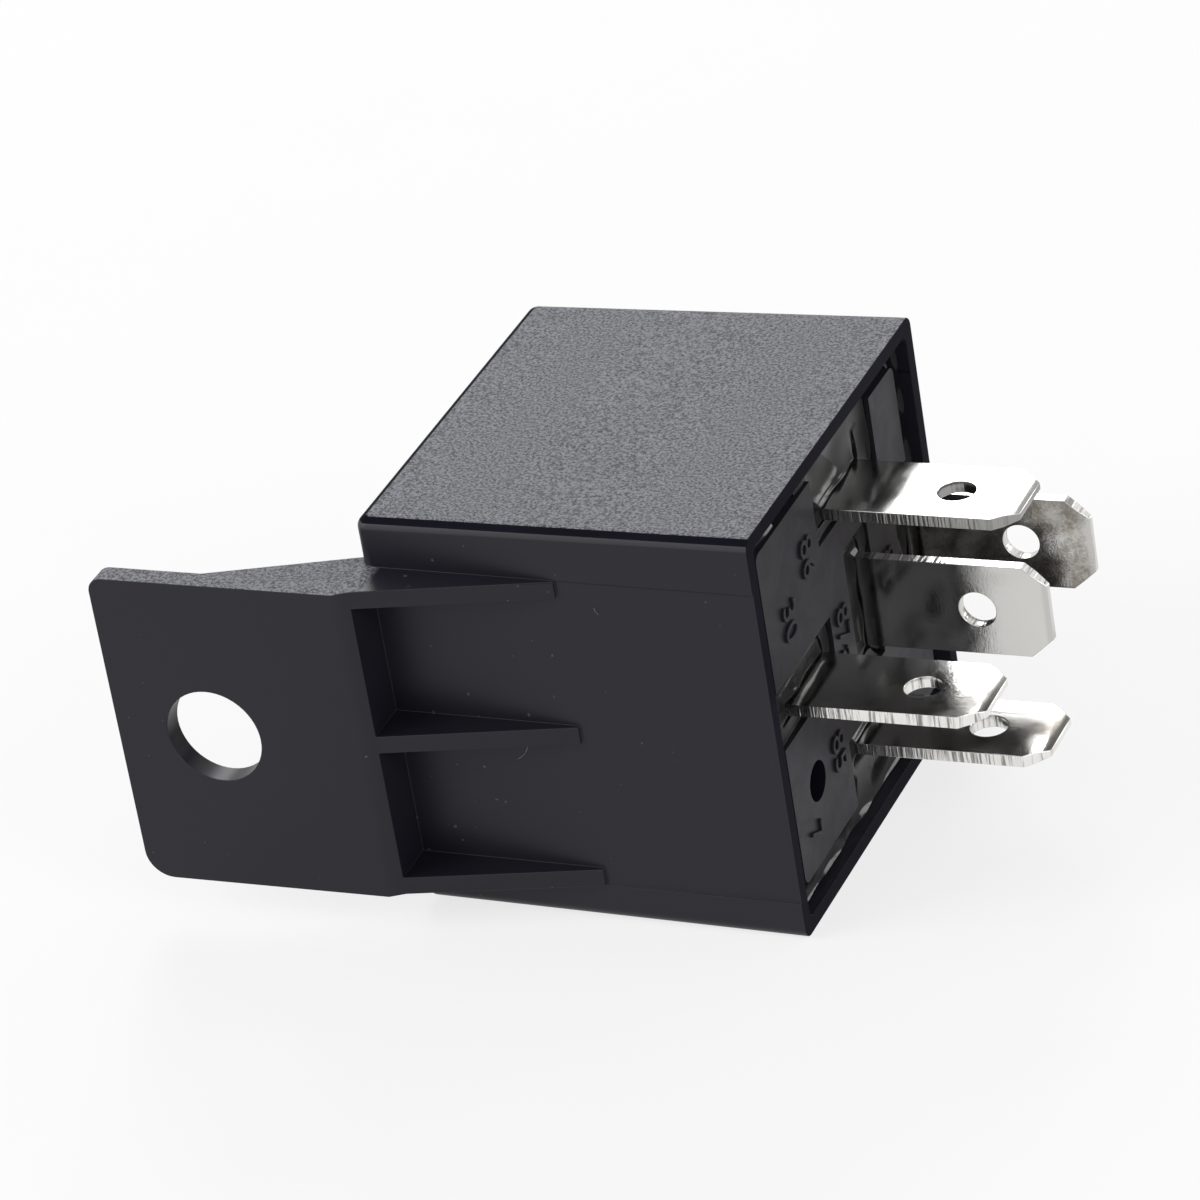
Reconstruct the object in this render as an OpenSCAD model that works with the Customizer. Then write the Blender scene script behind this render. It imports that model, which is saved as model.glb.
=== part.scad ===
// Five-blade changeover relay for vehicles, in a moulded case with a mounting tab.
// Millimetres. +X is the way the blades point, -Y the side of the mounting tab, +Z up.
// Inside the modules x = 0 is the closed end of the case, y = 0 its front face at the rim
// and z = 0 the lower side of the rim. placed() then moves the origin to the middle of
// the lowest face of the bounding box.

/* [Case] */
// Depth of the case from closed end to rim
case_depth = 25.85; // [25.4:0.05:30]
// Width of the case, front face to back face
case_width = 29; // [28.8:0.1:34]
// Height of the case
case_height = 28; // [27.6:0.1:34]
// Draft of each side face over the depth
case_draft = 0.34; // [0.1:0.02:0.4]
// Wall of the case behind the base
case_wall = 1.3; // [1.1:0.05:1.4]
// Wall of the case at the rim, round the base
rim_wall = 1; // [0.7:0.05:1.05]
// Wall of the closed end
end_wall = 1.2; // [0.8:0.05:1.2]
// Rounding of the outer edges
edge_round = 0.8; // [0.4:0.05:1]
// Depth of the flat sunk into the front face between the outer ribs
panel_sink = 0.08; // [0.04:0.01:0.15]

/* [Mounting tab] */
// Reach of the tab beyond the closed end
tab_reach = 17.15; // [15:0.05:20]
// Height of the tab
tab_height = 21.7; // [19:0.1:24]
// Thickness of the tab
tab_thick = 1.5; // [1.2:0.1:2]
// How far the tab stands in front of the front face
tab_proud = 3.3; // [2.8:0.1:4]
// How far the middle of the tab lies below the middle of the case
tab_drop = 0.45; // [0:0.05:0.8]
// Diameter of the screw hole
tab_hole_d = 6.4; // [5.2:0.1:6.6]
// Distance of the screw hole from the free end
tab_hole_inset = 6.7; // [5:0.1:8]
// Corner radius at the upper end of the free edge
tab_round_top = 1; // [0.5:0.1:3]
// Corner radius at the lower end of the free edge
tab_round_bottom = 1.8; // [0.5:0.1:3]
// Thickness of the ribs and of the webs behind the tab
rib_thick = 1.2; // [0.8:0.1:1.6]
// Length of the front ribs
rib_length = 12.35; // [8:0.05:16]
// Length of the webs behind the tab
web_length = 13.35; // [8:0.05:14.5]

/* [Base] */
// Depth of the base face below the rim
base_recess = 0.6; // [0.3:0.05:1]
// Thickness of the base
base_thick = 2.8; // [2.4:0.1:3]
// Depth of the blade pockets and of the edge channel
pocket_depth = 1.4; // [1.1:0.1:1.6]
// Level of the resin below the base face
resin_sink = 0.65; // [0.3:0.05:0.9]
// Width of the edge channel round the base face
channel_width = 1.4; // [1:0.1:1.8]
// Diameter of the vent hole
vent_d = 2.6; // [2:0.1:3]

/* [Blades] */
// Width of a blade
blade_width = 6.3; // [6:0.1:6.5]
// Thickness of a blade
blade_thick = 0.8; // [0.6:0.05:0.85]
// Reach of the blades beyond the rim
blade_reach = 11.6; // [9:0.1:14]
// Diameter of the latch hole in a blade
blade_hole_d = 2.4; // [1.6:0.1:2.6]
// Distance of the latch hole from the blade tip
blade_hole_inset = 4.7; // [4:0.1:5.5]
// Distance of the two coil blades from the middle, up and down
coil_spread = 8.4; // [8.2:0.05:8.7]
// Distance from blade 87a to blade 87
pitch_87 = 8.4; // [8.2:0.05:8.6]
// Distance from blade 30 to blade 87a
pitch_30 = 10.3; // [9.8:0.05:10.5]

/* [Magnet] */
// Diameter of the iron core
core_d = 6.4; // [5:0.1:7]
// Diameter of the pole head
pole_d = 9.5; // [8:0.1:10]
// Thickness of the pole head
pole_thick = 1.4; // [1:0.1:1.6]
// Outer diameter of the winding
winding_d = 12.8; // [10:0.1:13]
// Thickness of a bobbin flange
flange_thick = 1; // [0.6:0.1:1.4]
// Thickness of the yoke steel
yoke_thick = 1.8; // [1.4:0.1:2]
// Width of the yoke
yoke_width = 13; // [11:0.1:13.4]
// Thickness of the armature
armature_thick = 1.5; // [1.2:0.1:1.6]
// Air gap over the pole with the coil off
pole_gap = 0.5; // [0.5:0.05:0.7]

/* [Contacts] */
// Gap between the open contacts
contact_gap = 0.6; // [0.6:0.05:0.8]
// Thickness of the contact leaf
leaf_thick = 0.3; // [0.2:0.05:0.4]
// Diameter of the moving contact
contact_d = 2.8; // [2:0.1:3]

/* [Hidden] */

// Smoothness of round solids
round_fn = 64;
// Small overlap that joins pieces of one moulding
join = 0.3;
// Clearance of the base in the case, and of a blade in its slot
base_gap = 0.1;
slot_gap = 0.05;
// Clearance of riveted and pressed shanks
shank_gap = 0.02;

// Middle of the case and of the blade pattern
mid_z = case_height / 2;
row_87a = case_width / 2 + 3;
row_87 = row_87a + pitch_87;
row_30 = row_87a - pitch_30;
coil_row = row_87a - 1.1;
blade_tip = case_depth + blade_reach;

// Levels of the base, from the inside out
base_face = case_depth - base_recess;
pocket_floor = base_face - pocket_depth;
base_inside = base_face - base_thick;
resin_face = base_face - resin_sink;

// Mounting tab
tab_mid = mid_z - tab_drop;
tab_bottom = tab_mid - tab_height / 2;
tab_top = tab_mid + tab_height / 2;
tab_bevel = [0.95, 0.5];
tab_root = 0.5;
flare_round = 1.8;
flare_gap = 0.2;
flare_foot = 1.9;
rib_tip = 0.12;
web_rise = 4.6;
web_step = 0.6;

// Contact stack, counted from the closed end
strip_thick = blade_thick;
closed_strip = end_wall + 0.3;
fixed_head = 0.55;
rest_gap = 0.05;
moving_head = 0.6;
leaf_x = closed_strip + strip_thick + fixed_head + rest_gap + moving_head;
armature_x = leaf_x + leaf_thick;
hinge_x = armature_x + armature_thick;
seat_gap = 0.03;
moving_head_x = armature_x + 0.7;
open_head_x = moving_head_x + contact_gap;
open_strip = open_head_x + moving_head;
contact_row = row_87a + 4.1;
shank_d = 1.6;

// Magnet, from the pole to the foot of the yoke
coil_y = row_87a - 5.1;
pole_x = hinge_x + pole_gap;
flange_x = pole_x + pole_thick;
foot_x = base_inside - yoke_thick;
flange_y = winding_d + 0.4;
flange_z = winding_d + 0.8;
leg_inner = coil_y - flange_y / 2 - 0.2;
leg_outer = leg_inner - yoke_thick;
foot_end = row_87a - strip_thick - 0.7;
tail_d = 4.4;
tenon_width = 3;
tenon_end = foot_x + 0.2;

// Armature, with its tail for the spring
armature_width = 12;
armature_end = coil_y + 5;
rivet_y = coil_y - 3;
rivet_spread = 2.2;
tail_y = leg_outer - 1.9;
spring_y = leg_outer - 1.15;
spring_z = mid_z - 4;
spring_r = 0.7;
spring_wire = 0.14;
lug_x = foot_x - 7.2;
lug_thick = 0.8;
braid_width = 1.8;
braid_thick = 0.6;

// Bounding box middle, for the origin
origin_x = (blade_tip - tab_reach) / 2;
origin_y = (case_width - tab_proud) / 2;

// Front face of the case at a depth x, drawn back by the draft
function face_y(x) = case_draft * (1 - x / case_depth);
// A blade pocket: rows [y low, y high, z low, z high]
function pockets() = [
    [rim_wall, row_30 + 4.5, mid_z - 1.9, mid_z + 2.1],
    [coil_row - 4.7, coil_row + 5.8, mid_z + coil_spread - 1.4, case_height],
    [coil_row - 4.7, coil_row + 5.8, 0, mid_z - coil_spread + 1.4],
    [row_87a - 2.5, row_87a + 1.7, mid_z - 4.8, mid_z + 4.8],
    [row_87 - 2.3, case_width, mid_z - 4.8, mid_z + 4.8]];
// The two slots in the edge channel: [y low, y high]
function edge_slots() = [[6.2, 9.8], [case_width - 6.9, case_width - 2.8]];

function unit(v) = v / norm(v);
function tangents(p) = [for (i = [0 : len(p) - 1])
    unit(p[min(i + 1, len(p) - 1)] - p[max(i - 1, 0)])];
// Normals carried along a path with no twist
function carried(t, n0) = [for (i = 0, n = n0; i < len(t); i = i + 1,
    n = i < len(t) ? unit(n - t[i] * (n * t[i])) : n) n];

// Smooth line that starts and ends as its control points do and stays inside their hull
function smooth(c, steps) = concat([c[0]],
    [for (i = [1 : len(c) - 2], k = [0 : steps]) let (u = k / steps,
        from = (c[i - 1] + c[i]) / 2, to = (c[i] + c[i + 1]) / 2)
        if (k > 0 || i == 1) (1 - u) * (1 - u) * from + 2 * u * (1 - u) * c[i] + u * u * to],
    [c[len(c) - 1]]);

module placed() translate([-origin_x, -origin_y, 0]) children();
// Carries a drawing in X and Y along Z, in X and Z along Y, or in Y and Z along X
module along_z(z, h) translate([0, 0, z]) linear_extrude(h) children();
module along_y(y, h) translate([0, y + h, 0]) rotate([90, 0, 0]) linear_extrude(h) children();
module along_x(x, h) translate([x, 0, 0]) rotate([90, 0, 90]) linear_extrude(h) children();
module rod_x(x, h, r) translate([x, 0, 0]) rotate([0, 90, 0]) cylinder(r = r, h = h, $fn = round_fn);

module box(low, high) translate(low) cube(high - low);

// Rectangle from low to high with round corners
module rounded_rect(low, high, r) {
    translate([low[0] + r, low[1]]) square([high[0] - low[0] - 2 * r, high[1] - low[1]]);
    translate([low[0], low[1] + r]) square([high[0] - low[0], high[1] - low[1] - 2 * r]);
    for (u = [low[0] + r, high[0] - r], v = [low[1] + r, high[1] - r])
        translate([u, v]) circle(r = r, $fn = round_fn);
}

// Quarter of a strip bent round a sharp inner corner at the origin, in the quadrant turned by a.
// It reaches into the straight strips on both sides, which are at least as long as join.
module bend(a, t = strip_thick) rotate(a) {
    intersection() {
        circle(r = t, $fn = round_fn);
        square(t);
    }
    translate([-join, 0]) square([join, t]);
    translate([0, -join]) square([t, join]);
}

// Round tube along a path of points
module tube(path, r, sides = 8) {
    t = tangents(path);
    n = carried(t, unit(cross(t[0], [0.3, 0.5, 0.8])));
    last = len(path) - 1;
    polyhedron(
        points = [for (i = [0 : last], k = [0 : sides - 1]) let (a = 360 * k / sides)
            path[i] + r * (cos(a) * n[i] + sin(a) * cross(t[i], n[i]))],
        faces = concat(
            [for (i = [0 : last - 1], k = [0 : sides - 1]) let (m = (k + 1) % sides)
                [i * sides + k, (i + 1) * sides + k, (i + 1) * sides + m, i * sides + m]],
            [[for (k = [0 : sides - 1]) k]],
            [[for (k = [sides - 1 : -1 : 0]) last * sides + k]]));
}

// ---- Case -------------------------------------------------------------------------------

// Ring of points round the block at depth x, with the sides in by inset and corners of radius r
function block_ring(x, inset, r, steps) = [for (c = [0 : 3], k = [0 : steps])
    let (a = 90 * c + 90 * k / steps,
        y = c == 0 || c == 3 ? case_width - inset - r : inset + r,
        z = c < 2 ? case_height - inset - r : inset + r)
    [x, y + r * cos(a), z + r * sin(a)]];

// Outside of the case: rounded at the closed end, then drafted straight to the rim
module case_block() {
    steps = 10;
    first = 14;
    count = 4 * (steps + 1);
    angles = [for (k = [0 : 7]) first + (90 - first) * k / 7];
    rings = concat(
        [for (a = angles) block_ring(edge_round * (1 - cos(a) / cos(first)),
            face_y(edge_round) + edge_round * (1 - sin(a)), edge_round * sin(a), steps)],
        [block_ring(case_depth, 0, edge_round, steps)]);
    last = len(rings) - 1;
    polyhedron(
        points = [for (ring = rings) each ring],
        faces = concat(
            [for (i = [0 : last - 1], k = [0 : count - 1]) let (m = (k + 1) % count)
                [i * count + k, (i + 1) * count + k, (i + 1) * count + m, i * count + m]],
            [[for (k = [0 : count - 1]) k]],
            [[for (k = [count - 1 : -1 : 0]) last * count + k]]));
}

// Inside of the case, in one direction: depth against the width or the height
module cavity_profile(across) polygon([
    [end_wall, case_wall + case_draft], [case_depth, case_wall],
    [case_depth, across - case_wall], [end_wall, across - case_wall - case_draft]]);

module case_cavity() {
    intersection() {
        along_z(0, case_height) cavity_profile(case_width);
        along_y(0, case_width) cavity_profile(case_height);
    }
    // Wider mouth, whose step the base sits on
    along_x(base_inside, case_depth) rounded_rect([rim_wall, rim_wall],
        [case_width - rim_wall, case_height - rim_wall], 0.5);
}

// Section of the tab: flat plate, bevel, root and the flare behind it
module tab_section() polygon(concat(
    [[-tab_reach, -tab_proud], [tab_root - tab_bevel[0], -tab_proud],
        [tab_root, -tab_proud + tab_bevel[1]], [tab_root, flare_foot], [0, flare_foot]],
    [for (a = [360 : -9 : 270]) [-flare_gap - flare_round, -tab_proud + tab_thick + flare_round]
        + flare_round * [cos(a), sin(a)]],
    [[-tab_reach, -tab_proud + tab_thick]]));

// What a round corner of radius r leaves outside itself, at the origin
module corner_cut(r) difference() {
    translate([-1, -1]) square(r + 1);
    translate([r, r]) circle(r = r, $fn = round_fn);
}

module tab_plate() difference() {
    along_z(tab_bottom, tab_height) tab_section();
    along_y(-tab_proud - 1, tab_thick + 2) {
        translate([-tab_reach, tab_bottom]) corner_cut(tab_round_bottom);
        translate([-tab_reach, tab_top]) mirror([0, 1]) corner_cut(tab_round_top);
    }
}

module front_rib() polygon([
    [tab_root - join, -tab_proud + tab_bevel[1]], [tab_root, -tab_proud + tab_bevel[1]],
    [tab_root + rib_length, face_y(tab_root + rib_length) - rib_tip],
    [tab_root + rib_length, 1], [tab_root - join, 1]]);

module back_web() polygon([
    [-web_length, -tab_proud + tab_thick], [-web_length, -tab_proud + tab_thick - join],
    [join, -tab_proud + tab_thick - join], [join, -tab_proud + tab_thick + web_rise]]);

module case() color([0.16, 0.16, 0.18]) placed() difference() {
    union() {
        difference() {
            case_block();
            along_z(tab_bottom, tab_height) polygon([
                [tab_root, face_y(tab_root) + panel_sink], [case_depth + 1, panel_sink],
                [case_depth + 1, -1], [tab_root, -1]]);
        }
        tab_plate();
        for (z = [tab_bottom, tab_mid - rib_thick / 2, tab_top - rib_thick])
            along_z(z, rib_thick) front_rib();
        for (z = [tab_bottom + web_step, tab_top - web_step - rib_thick])
            along_z(z, rib_thick) back_web();
    }
    case_cavity();
    translate([tab_hole_inset - tab_reach, 1 - tab_proud + tab_thick, tab_mid])
        rotate([90, 0, 0]) cylinder(d = tab_hole_d, h = tab_thick + 2, $fn = 96);
}

// ---- Base and resin -----------------------------------------------------------------------

// Section of blade at a row, widened by gap all round
module blade_slot(y, z, upright, gap) {
    w = (upright ? blade_thick : blade_width) / 2 + gap;
    h = (upright ? blade_width : blade_thick) / 2 + gap;
    translate([y - w, z - h]) square([2 * w, 2 * h]);
}

module blade_slots(gap) {
    blade_slot(row_30, mid_z, false, gap);
    blade_slot(coil_row, mid_z + coil_spread, false, gap);
    blade_slot(coil_row, mid_z - coil_spread, false, gap);
    blade_slot(row_87a, mid_z, true, gap);
    blade_slot(row_87, mid_z, true, gap);
}

// Raised face of the base: a plate inside the edge channel, less the blade pockets
module base_plateau() difference() {
    edge = rim_wall + channel_width;
    rounded_rect([edge, edge], [case_width - edge, case_height - edge], 0.6);
    for (p = pockets()) translate([p[0], p[2]]) square([p[1] - p[0], p[3] - p[2]]);
}

module edge_slot_cuts() for (s = edge_slots())
    translate([s[0], case_height - rim_wall - channel_width]) square([s[1] - s[0], 0.9]);

module base() color([0.2, 0.2, 0.22]) placed() difference() {
    edge = rim_wall + base_gap;
    cheek = 1.2;
    union() {
        along_x(base_inside, base_thick - pocket_depth)
            rounded_rect([edge, edge], [case_width - edge, case_height - edge], 0.5);
        along_x(pocket_floor - join, pocket_depth + join) base_plateau();
        // Cheeks that hold the foot of the yoke
        for (s = [-1, 1]) translate([foot_x + base_gap, coil_y - 4,
            mid_z + s * (yoke_width / 2 + cheek / 2 + slot_gap) - cheek / 2])
            cube([yoke_thick - base_gap + join, 8, cheek]);
    }
    along_x(base_inside - 1, base_thick + 2) blade_slots(slot_gap);
    along_x(pocket_floor - 0.7, pocket_depth) edge_slot_cuts();
    translate([0, row_30 - 0.85, mid_z - 6.45]) rod_x(base_inside - 1, base_thick + 2, vent_d / 2);
}

// All the resin, in the edge channel and in the pockets
module resin_pour() along_x(pocket_floor, resin_face - pocket_floor) difference() {
    rounded_rect([rim_wall, rim_wall], [case_width - rim_wall, case_height - rim_wall], 0.5);
    base_plateau();
    blade_slots(0);
    edge_slot_cuts();
}

// Room round the pocket of blade 87a, which the edge channel doesn't reach
module middle_pocket() box([0, row_87a - 3, mid_z - 6], [case_depth, row_87a + 2.2, mid_z + 6]);

module sealing_resin() color([0.05, 0.05, 0.06]) placed() difference() {
    resin_pour();
    middle_pocket();
}

module sealing_resin_87a() color([0.05, 0.05, 0.06]) placed() intersection() {
    resin_pour();
    middle_pocket();
}

// ---- Terminals ----------------------------------------------------------------------------

// Blade along X from the inside of the base to its tip, width along Y
module blade() {
    chamfer = [1.5, 1.25];
    coin = [0.85, 0.18];
    w = blade_width / 2;
    t = blade_thick / 2;
    difference() {
        intersection() {
            along_z(-t, blade_thick) polygon([[base_inside, -w], [blade_tip - chamfer[0], -w],
                [blade_tip, chamfer[1] - w], [blade_tip, w - chamfer[1]],
                [blade_tip - chamfer[0], w], [base_inside, w]]);
            along_y(-w, blade_width) polygon([[base_inside, -t], [blade_tip - coin[0], -t],
                [blade_tip, coin[1] - t], [blade_tip, t - coin[1]],
                [blade_tip - coin[0], t], [base_inside, t]]);
        }
        translate([blade_tip - blade_hole_inset, 0, -blade_thick])
            cylinder(d = blade_hole_d, h = 2 * blade_thick, $fn = 48);
    }
}

// Blade turned so that its width stands along Z
module upright_blade() rotate([90, 0, 0]) blade();

module terminal_30() color([0.78, 0.78, 0.76]) placed() translate([0, row_30, mid_z]) {
    blade();
    box([tenon_end, -tenon_width / 2, -blade_thick / 2],
        [base_inside + join, tenon_width / 2, blade_thick / 2]);
}

// Coil terminal: blade, shoulders inside the base and a tail with a neck for the lead
module coil_terminal(z) {
    shoulder = [1.2, 3.65];
    tail = [4.85, 1.3];
    neck = [1, 0.5];
    translate([0, coil_row, z]) {
        blade();
        along_z(-blade_thick / 2, blade_thick) polygon([
            [base_inside, -shoulder[1]], [base_inside, shoulder[1]],
            [base_inside - shoulder[0], shoulder[1]], [base_inside - shoulder[0], tail[1]],
            [base_inside - tail[0] + neck[0] + 0.6, tail[1]],
            [base_inside - tail[0] + neck[0] + 0.6, neck[1]],
            [base_inside - tail[0] + 0.4, neck[1]], [base_inside - tail[0] + 0.4, tail[1] / 1.5],
            [base_inside - tail[0], tail[1] / 1.5], [base_inside - tail[0], -tail[1] / 1.5],
            [base_inside - tail[0] + 0.4, -tail[1] / 1.5], [base_inside - tail[0] + 0.4, -neck[1]],
            [base_inside - tail[0] + neck[0] + 0.6, -neck[1]],
            [base_inside - tail[0] + neck[0] + 0.6, -tail[1]],
            [base_inside - shoulder[0], -tail[1]], [base_inside - shoulder[0], -shoulder[1]]]);
        translate([base_inside - join, -blade_width / 2, -blade_thick / 2])
            cube([2 * join, blade_width, blade_thick]);
    }
}

module terminal_85() color([0.78, 0.78, 0.76]) placed() coil_terminal(mid_z - coil_spread);
module terminal_86() color([0.78, 0.78, 0.76]) placed() coil_terminal(mid_z + coil_spread);

// Blade 87, with a strip up the back of the case that bends over to the open contact
module terminal_87() color([0.78, 0.78, 0.76]) placed() difference() {
    t = strip_thick;
    in_y = row_87 - t / 2;
    union() {
        translate([0, row_87, mid_z]) upright_blade();
        along_z(mid_z - blade_width / 2, blade_width) {
            translate([open_strip + t, in_y]) square([base_inside + join - open_strip - t, t]);
            translate([open_strip + t, in_y]) bend(90);
            translate([open_strip, contact_row - 1.7]) square([t, in_y - contact_row + 1.7]);
        }
    }
    translate([0, contact_row, mid_z]) rod_x(open_strip - 1, t + 2, shank_d / 2 + shank_gap);
}

// Blade 87a, with a foot along the base, a riser beside the other strip and a tab at the top
module terminal_87a() color([0.78, 0.78, 0.76]) placed() difference() {
    t = strip_thick;
    in_y = row_87a + t / 2;
    riser_y = row_87 - t / 2 - 0.3 - t;
    riser = [mid_z + 3.6, mid_z + 7.6];
    foot_y = coil_row + 4;
    flag = [mid_z - 3, 2.1];
    w = blade_width / 2;
    union() {
        translate([0, row_87a, mid_z]) upright_blade();
        along_z(mid_z - w, blade_width) translate([base_inside, in_y]) bend(180);
        along_x(base_inside - t, t) polygon([[in_y, mid_z - w], [foot_y, mid_z - w],
            [riser_y, riser[0]], [riser_y, riser[1]], [foot_y, riser[1]], [foot_y, mid_z + w],
            [in_y, mid_z + w]]);
        along_z(riser[0], riser[1] - riser[0]) {
            translate([base_inside - t, riser_y]) bend(0);
            translate([closed_strip + t, riser_y]) square([base_inside - closed_strip - 2 * t, t]);
        }
        along_z(flag[0], riser[1] - flag[0])
            translate([closed_strip + t, riser_y]) square([flag[1], t]);
        along_z(flag[0], riser[1] - flag[0]) translate([closed_strip + t, riser_y]) bend(90);
        box([closed_strip, contact_row - 1.7, flag[0]],
            [closed_strip + t, riser_y, mid_z + 3]);
        box([closed_strip, riser_y - 1, flag[0]], [closed_strip + t, riser_y, riser[1]]);
    }
    translate([0, contact_row, mid_z]) rod_x(closed_strip - 1, t + 2, shank_d / 2 + shank_gap);
}

// ---- Magnet -------------------------------------------------------------------------------

module yoke() color([0.6, 0.6, 0.62]) placed() difference() {
    leg_end = hinge_x + seat_gap;
    low_z = mid_z - yoke_width / 2;
    union() {
        along_z(low_z, yoke_width) {
            translate([leg_end, leg_outer]) square([foot_x - leg_end, yoke_thick]);
            translate([foot_x, leg_inner]) bend(270, yoke_thick);
            translate([foot_x, leg_inner]) square([yoke_thick, foot_end - leg_inner]);
        }
        // Lug that holds the return spring
        box([lug_x, leg_outer - 1.9, spring_z - 1.4], [lug_x + lug_thick, leg_outer + join,
            spring_z + 1.4]);
    }
    translate([0, coil_y, mid_z]) rod_x(foot_x - 1, yoke_thick + 2, tail_d / 2 + shank_gap);
    box([foot_x - 1, row_30 - tenon_width / 2 - slot_gap, mid_z - blade_thick / 2 - slot_gap],
        [base_inside + 1, row_30 + tenon_width / 2 + slot_gap,
            mid_z + blade_thick / 2 + slot_gap]);
    box([lug_x - 1, leg_outer - 3, spring_z - 0.25],
        [lug_x + lug_thick + 1, spring_y + 0.25, spring_z + 0.25]);
}

module core() color([0.62, 0.62, 0.64]) placed() translate([0, coil_y, mid_z]) {
    rod_x(pole_x, pole_thick, pole_d / 2);
    rod_x(flange_x - join, foot_x - flange_x + join, core_d / 2);
    rod_x(foot_x - join, yoke_thick + join, tail_d / 2);
}

module bobbin() color([0.85, 0.83, 0.76]) placed() translate([0, coil_y, mid_z]) difference() {
    bore_r = core_d / 2 + slot_gap;
    union() {
        rod_x(flange_x, foot_x - flange_x, bore_r + 0.75);
        for (x = [flange_x, foot_x - flange_thick]) along_x(x, flange_thick)
            rounded_rect([-flange_y / 2, -flange_z / 2], [flange_y / 2, flange_z / 2], 1.5);
    }
    rod_x(flange_x - 1, foot_x - flange_x + 2, bore_r);
}

// Winding: layers of wire, with a ridge for every turn of the outer layer
module coil_winding() color([0.62, 0.3, 0.14]) placed() translate([0, coil_y, mid_z])
    rotate([0, 90, 0]) {
        inner = core_d / 2 + slot_gap + 0.75;
        low = flange_x + flange_thick;
        high = foot_x - flange_thick;
        turns = 30;
        pitch = (high - low) / turns;
        rotate_extrude($fn = round_fn) polygon(concat(
            [[inner, low]],
            [for (i = [0 : turns - 1], k = [0, 1, 2])
                [winding_d / 2 - (k == 0 ? pitch / 3 : 0), low + pitch * (i + [0, 0.3, 0.7][k])]],
            [[winding_d / 2 - pitch / 3, high], [inner, high]]));
    }

// Lead from the winding to the neck of a coil terminal, wound round it; side is 1 or -1
module coil_lead(side) {
    wire = 0.15;
    wrap_r = 0.8;
    neck_x = base_inside - 4.25;
    lift = coil_spread;
    path = concat(
        [[neck_x + 0.8, 3, 5.9], [neck_x + 0.8, 3.3, 6.5], [neck_x + 0.9, 4, 7.3]],
        [for (a = [-90 : 30 : 720]) [neck_x + 0.85 - 0.7 * (a + 90) / 810,
            coil_row - coil_y + wrap_r * cos(a), lift + wrap_r * sin(a)]]);
    translate([0, coil_y, mid_z]) mirror([0, 0, side < 0 ? 1 : 0]) tube(path, wire, 6);
}

module coil_lead_start() color([0.62, 0.3, 0.14]) placed() coil_lead(-1);
module coil_lead_finish() color([0.62, 0.3, 0.14]) placed() coil_lead(1);

// ---- Armature and contacts ------------------------------------------------------------------

// The two rivets of the leaf, at side -1 and 1
module rivet_place(side) translate([0, rivet_y, mid_z + side * rivet_spread]) children();
module rivet_places() for (side = [-1, 1]) rivet_place(side) children();

module armature() color([0.55, 0.55, 0.57]) placed() difference() {
    half = armature_width / 2;
    along_x(armature_x, armature_thick) {
        polygon([[leg_outer, mid_z - half], [armature_end - 2, mid_z - half],
            [armature_end, mid_z - half + 1.6], [armature_end, mid_z + half - 1.6],
            [armature_end - 2, mid_z + half], [leg_outer, mid_z + half]]);
        translate([tail_y, spring_z - 1.6]) square([leg_outer - tail_y + join, 3.2]);
    }
    rivet_places() rod_x(armature_x - 1, armature_thick + 2, 0.7 + shank_gap);
    box([armature_x - 1, tail_y - 1, spring_z - 0.25],
        [hinge_x + 1, spring_y + 0.25, spring_z + 0.25]);
}

module contact_leaf() color([0.8, 0.5, 0.25]) placed() difference() {
    tip_r = 2.3;
    along_x(leaf_x, leaf_thick) {
        polygon([[leg_inner + 0.8, mid_z - 3.5], [armature_end - 1, mid_z - 3.5],
            [contact_row - 1, mid_z - tip_r], [contact_row, mid_z - tip_r],
            [contact_row, mid_z + tip_r], [contact_row - 1, mid_z + tip_r],
            [armature_end - 1, mid_z + 3.5], [leg_inner + 0.8, mid_z + 3.5]]);
        translate([contact_row, mid_z]) circle(r = tip_r, $fn = round_fn);
    }
    rivet_places() rod_x(leaf_x - 1, leaf_thick + 2, 0.7 + shank_gap);
    translate([0, contact_row, mid_z]) rod_x(leaf_x - 1, leaf_thick + 2, shank_d / 2 + shank_gap);
}

module leaf_rivet(side) rivet_place(side) {
    rod_x(leaf_x - 0.5, 0.5, 1.1);
    rod_x(leaf_x - 0.1, hinge_x - leaf_x + 0.1, 0.7);
}

module leaf_rivet_lower() color([0.7, 0.7, 0.68]) placed() leaf_rivet(-1);
module leaf_rivet_upper() color([0.7, 0.7, 0.68]) placed() leaf_rivet(1);

module moving_contact() color([0.86, 0.86, 0.84]) placed() translate([0, contact_row, mid_z]) {
    rod_x(leaf_x - moving_head, moving_head, contact_d / 2);
    rod_x(leaf_x - 0.1, leaf_thick + 0.2, shank_d / 2);
    rod_x(armature_x, moving_head_x - armature_x, contact_d / 2);
}

// Fixed contact: head on one side of its strip, shank, and an upset tail on the other
module fixed_contact(head_from, head_to, strip_from, strip_to, tail_to) {
    rod_x(min(head_from, head_to), abs(head_to - head_from), contact_d / 2 + 0.1);
    rod_x(strip_from - 0.1, strip_to - strip_from + 0.2, shank_d / 2);
    rod_x(min(tail_to, strip_from, strip_to) == tail_to ? tail_to : strip_to,
        tail_to < strip_from ? strip_from - tail_to : tail_to - strip_to, 1.1);
}

module open_contact() color([0.86, 0.86, 0.84]) placed() translate([0, contact_row, mid_z])
    fixed_contact(open_head_x, open_strip, open_strip, open_strip + strip_thick,
        open_strip + strip_thick + 0.4);

module closed_contact() color([0.86, 0.86, 0.84]) placed() translate([0, contact_row, mid_z])
    fixed_contact(closed_strip + strip_thick, closed_strip + strip_thick + fixed_head,
        closed_strip, closed_strip + strip_thick, closed_strip - 0.25);

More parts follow.
